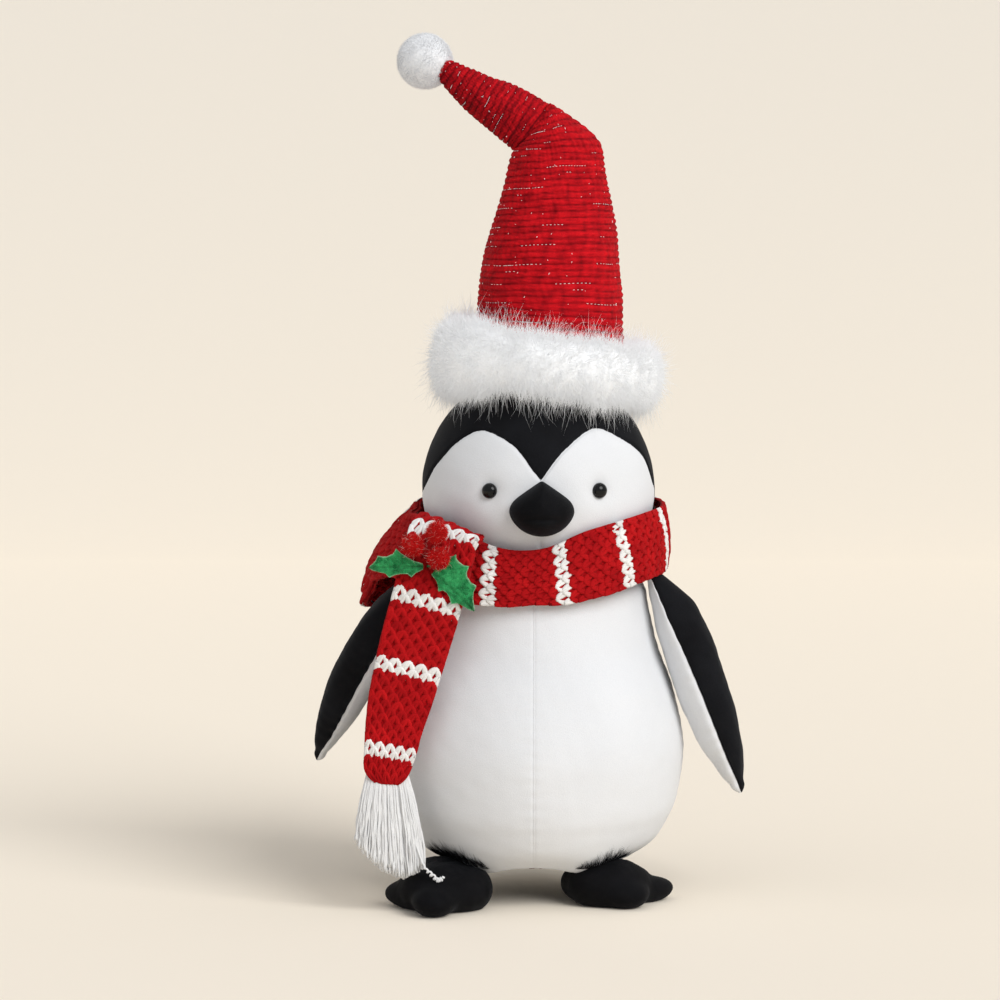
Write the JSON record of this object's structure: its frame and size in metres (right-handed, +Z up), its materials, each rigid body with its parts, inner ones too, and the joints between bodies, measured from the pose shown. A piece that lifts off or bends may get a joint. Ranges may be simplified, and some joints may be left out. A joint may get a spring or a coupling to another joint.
{
  "type": "plush penguin",
  "caption": "Standing stuffed penguin in black and white plush, with a striped knitted scarf, holly, and a tall bent hat with fur trim and pompom.",
  "frame": {"origin": "on the surface the penguin stands on, under the middle of the box that it fills", "axes": "+Z up, -Y towards the penguin's front, +X to the right as seen from its front"},
  "size_m": [0.2821, 0.2017, 0.5599],
  "materials": {
    "white_plush": "short-pile plush, matt",
    "black_plush": "short-pile plush, matt",
    "black_velour": "short velour, soft sheen",
    "black_felt": "felt, matt",
    "stuffing": "loose polyester fibre",
    "board": "plain board",
    "pouch_cloth": "plain woven cloth",
    "pellets": "small smooth beads",
    "eye_plastic": "polished, glossy",
    "washer_plastic": "moulded",
    "red_knit": "open knit of soft yarn, matt",
    "white_knit": "open knit of soft yarn, matt",
    "white_yarn": "loose yarn strands",
    "green_felt": "fuzzy felt with a paler cut edge",
    "red_tinsel": "fuzzy yarn with fine tinsel",
    "wire": "plain drawn wire",
    "green_wire": "paper-wrapped, matt",
    "red_cloth": "ribbed cloth with silver metallic thread",
    "white_fur": "long wispy fur",
    "pompom_fur": "dense short fur",
    "red_thread": "sewing thread"
  },
  "bodies": {
    "penguin": {"belly_panel_left": "white_plush", "belly_panel_right": "white_plush", "back_panel_left": "black_plush", "back_panel_right": "black_plush", "base_panel": "black_plush", "base_board": "board", "ballast_pouch": "pouch_cloth", "ballast_pellets": "pellets", "body_stuffing": "stuffing", "head_hood": "black_plush", "face_patch_left": "white_plush", "face_patch_right": "white_plush", "head_stuffing": "stuffing", "beak_upper": "black_velour", "beak_lower": "black_velour", "beak_stuffing": "stuffing", "eye_left": "eye_plastic", "eye_right": "eye_plastic", "eye_washer_left": "washer_plastic", "eye_washer_right": "washer_plastic", "foot_left_upper": "black_velour", "foot_left_sole": "black_felt", "foot_left_stuffing": "stuffing", "foot_right_upper": "black_velour", "foot_right_sole": "black_felt", "foot_right_stuffing": "stuffing", "scarf_wrap_red": "red_knit", "scarf_wrap_white": "white_knit", "scarf_crossing_red": "red_knit", "scarf_crossing_white": "white_knit", "holly_leaf_left": "green_felt", "holly_leaf_right": "green_felt", "holly_berry_1": "red_tinsel", "holly_berry_2": "red_tinsel", "holly_berry_3": "red_tinsel", "holly_stem_wire": "green_wire", "hat_cone": "red_cloth", "hat_stuffing": "stuffing", "hat_wire": "wire", "hat_trim": "white_fur"},
    "left_flipper": {"flipper_left_outer": "black_plush", "flipper_left_inner": "white_plush", "flipper_left_stuffing": "stuffing"},
    "right_flipper": {"flipper_right_outer": "black_plush", "flipper_right_inner": "white_plush", "flipper_right_stuffing": "stuffing"},
    "scarf_tail": {"scarf_tail_red": "red_knit", "scarf_tail_white": "white_knit"},
    "tassel": {"tassel": "white_yarn"},
    "hat_tip": {"hat_tip": "red_cloth", "hat_tip_stuffing": "stuffing", "hat_tip_wire": "wire"},
    "pompom": {"pompom": "pompom_fur", "pompom_thread": "red_thread"}
  },
  "joints": [
    {"name": "left_flipper_lift", "type": "hinge", "parent": "penguin", "child": "left_flipper", "pos_m": [-0.0726, -0.0121, 0.207], "axis": [0, 1, 0], "range_deg": [0, 45]},
    {"name": "right_flipper_lift", "type": "hinge", "parent": "penguin", "child": "right_flipper", "pos_m": [0.0814, -0.0121, 0.207], "axis": [0, -1, 0], "range_deg": [0, 45]},
    {"name": "hat_tip_bend", "type": "hinge", "parent": "penguin", "child": "hat_tip", "pos_m": [0.01939, 0.0029, 0.47985], "axis": [0, -1, 0], "range_deg": [-50, 15]},
    {"name": "pompom_wobble", "type": "hinge", "parent": "hat_tip", "child": "pompom", "pos_m": [-0.05243, 0.0029, 0.5307], "axis": [0, -1, 0], "range_deg": [-20, 20]},
    {"name": "scarf_tail_lift", "type": "hinge", "parent": "penguin", "child": "scarf_tail", "pos_m": [-0.0619, -0.0801, 0.183], "axis": [-1, 0, 0], "range_deg": [0, 70]},
    {"name": "tassel_swing", "type": "hinge", "parent": "scarf_tail", "child": "tassel", "pos_m": [-0.0846, -0.0791, 0.0862], "axis": [0, 1, 0], "range_deg": [-30, 30]}
  ]
}
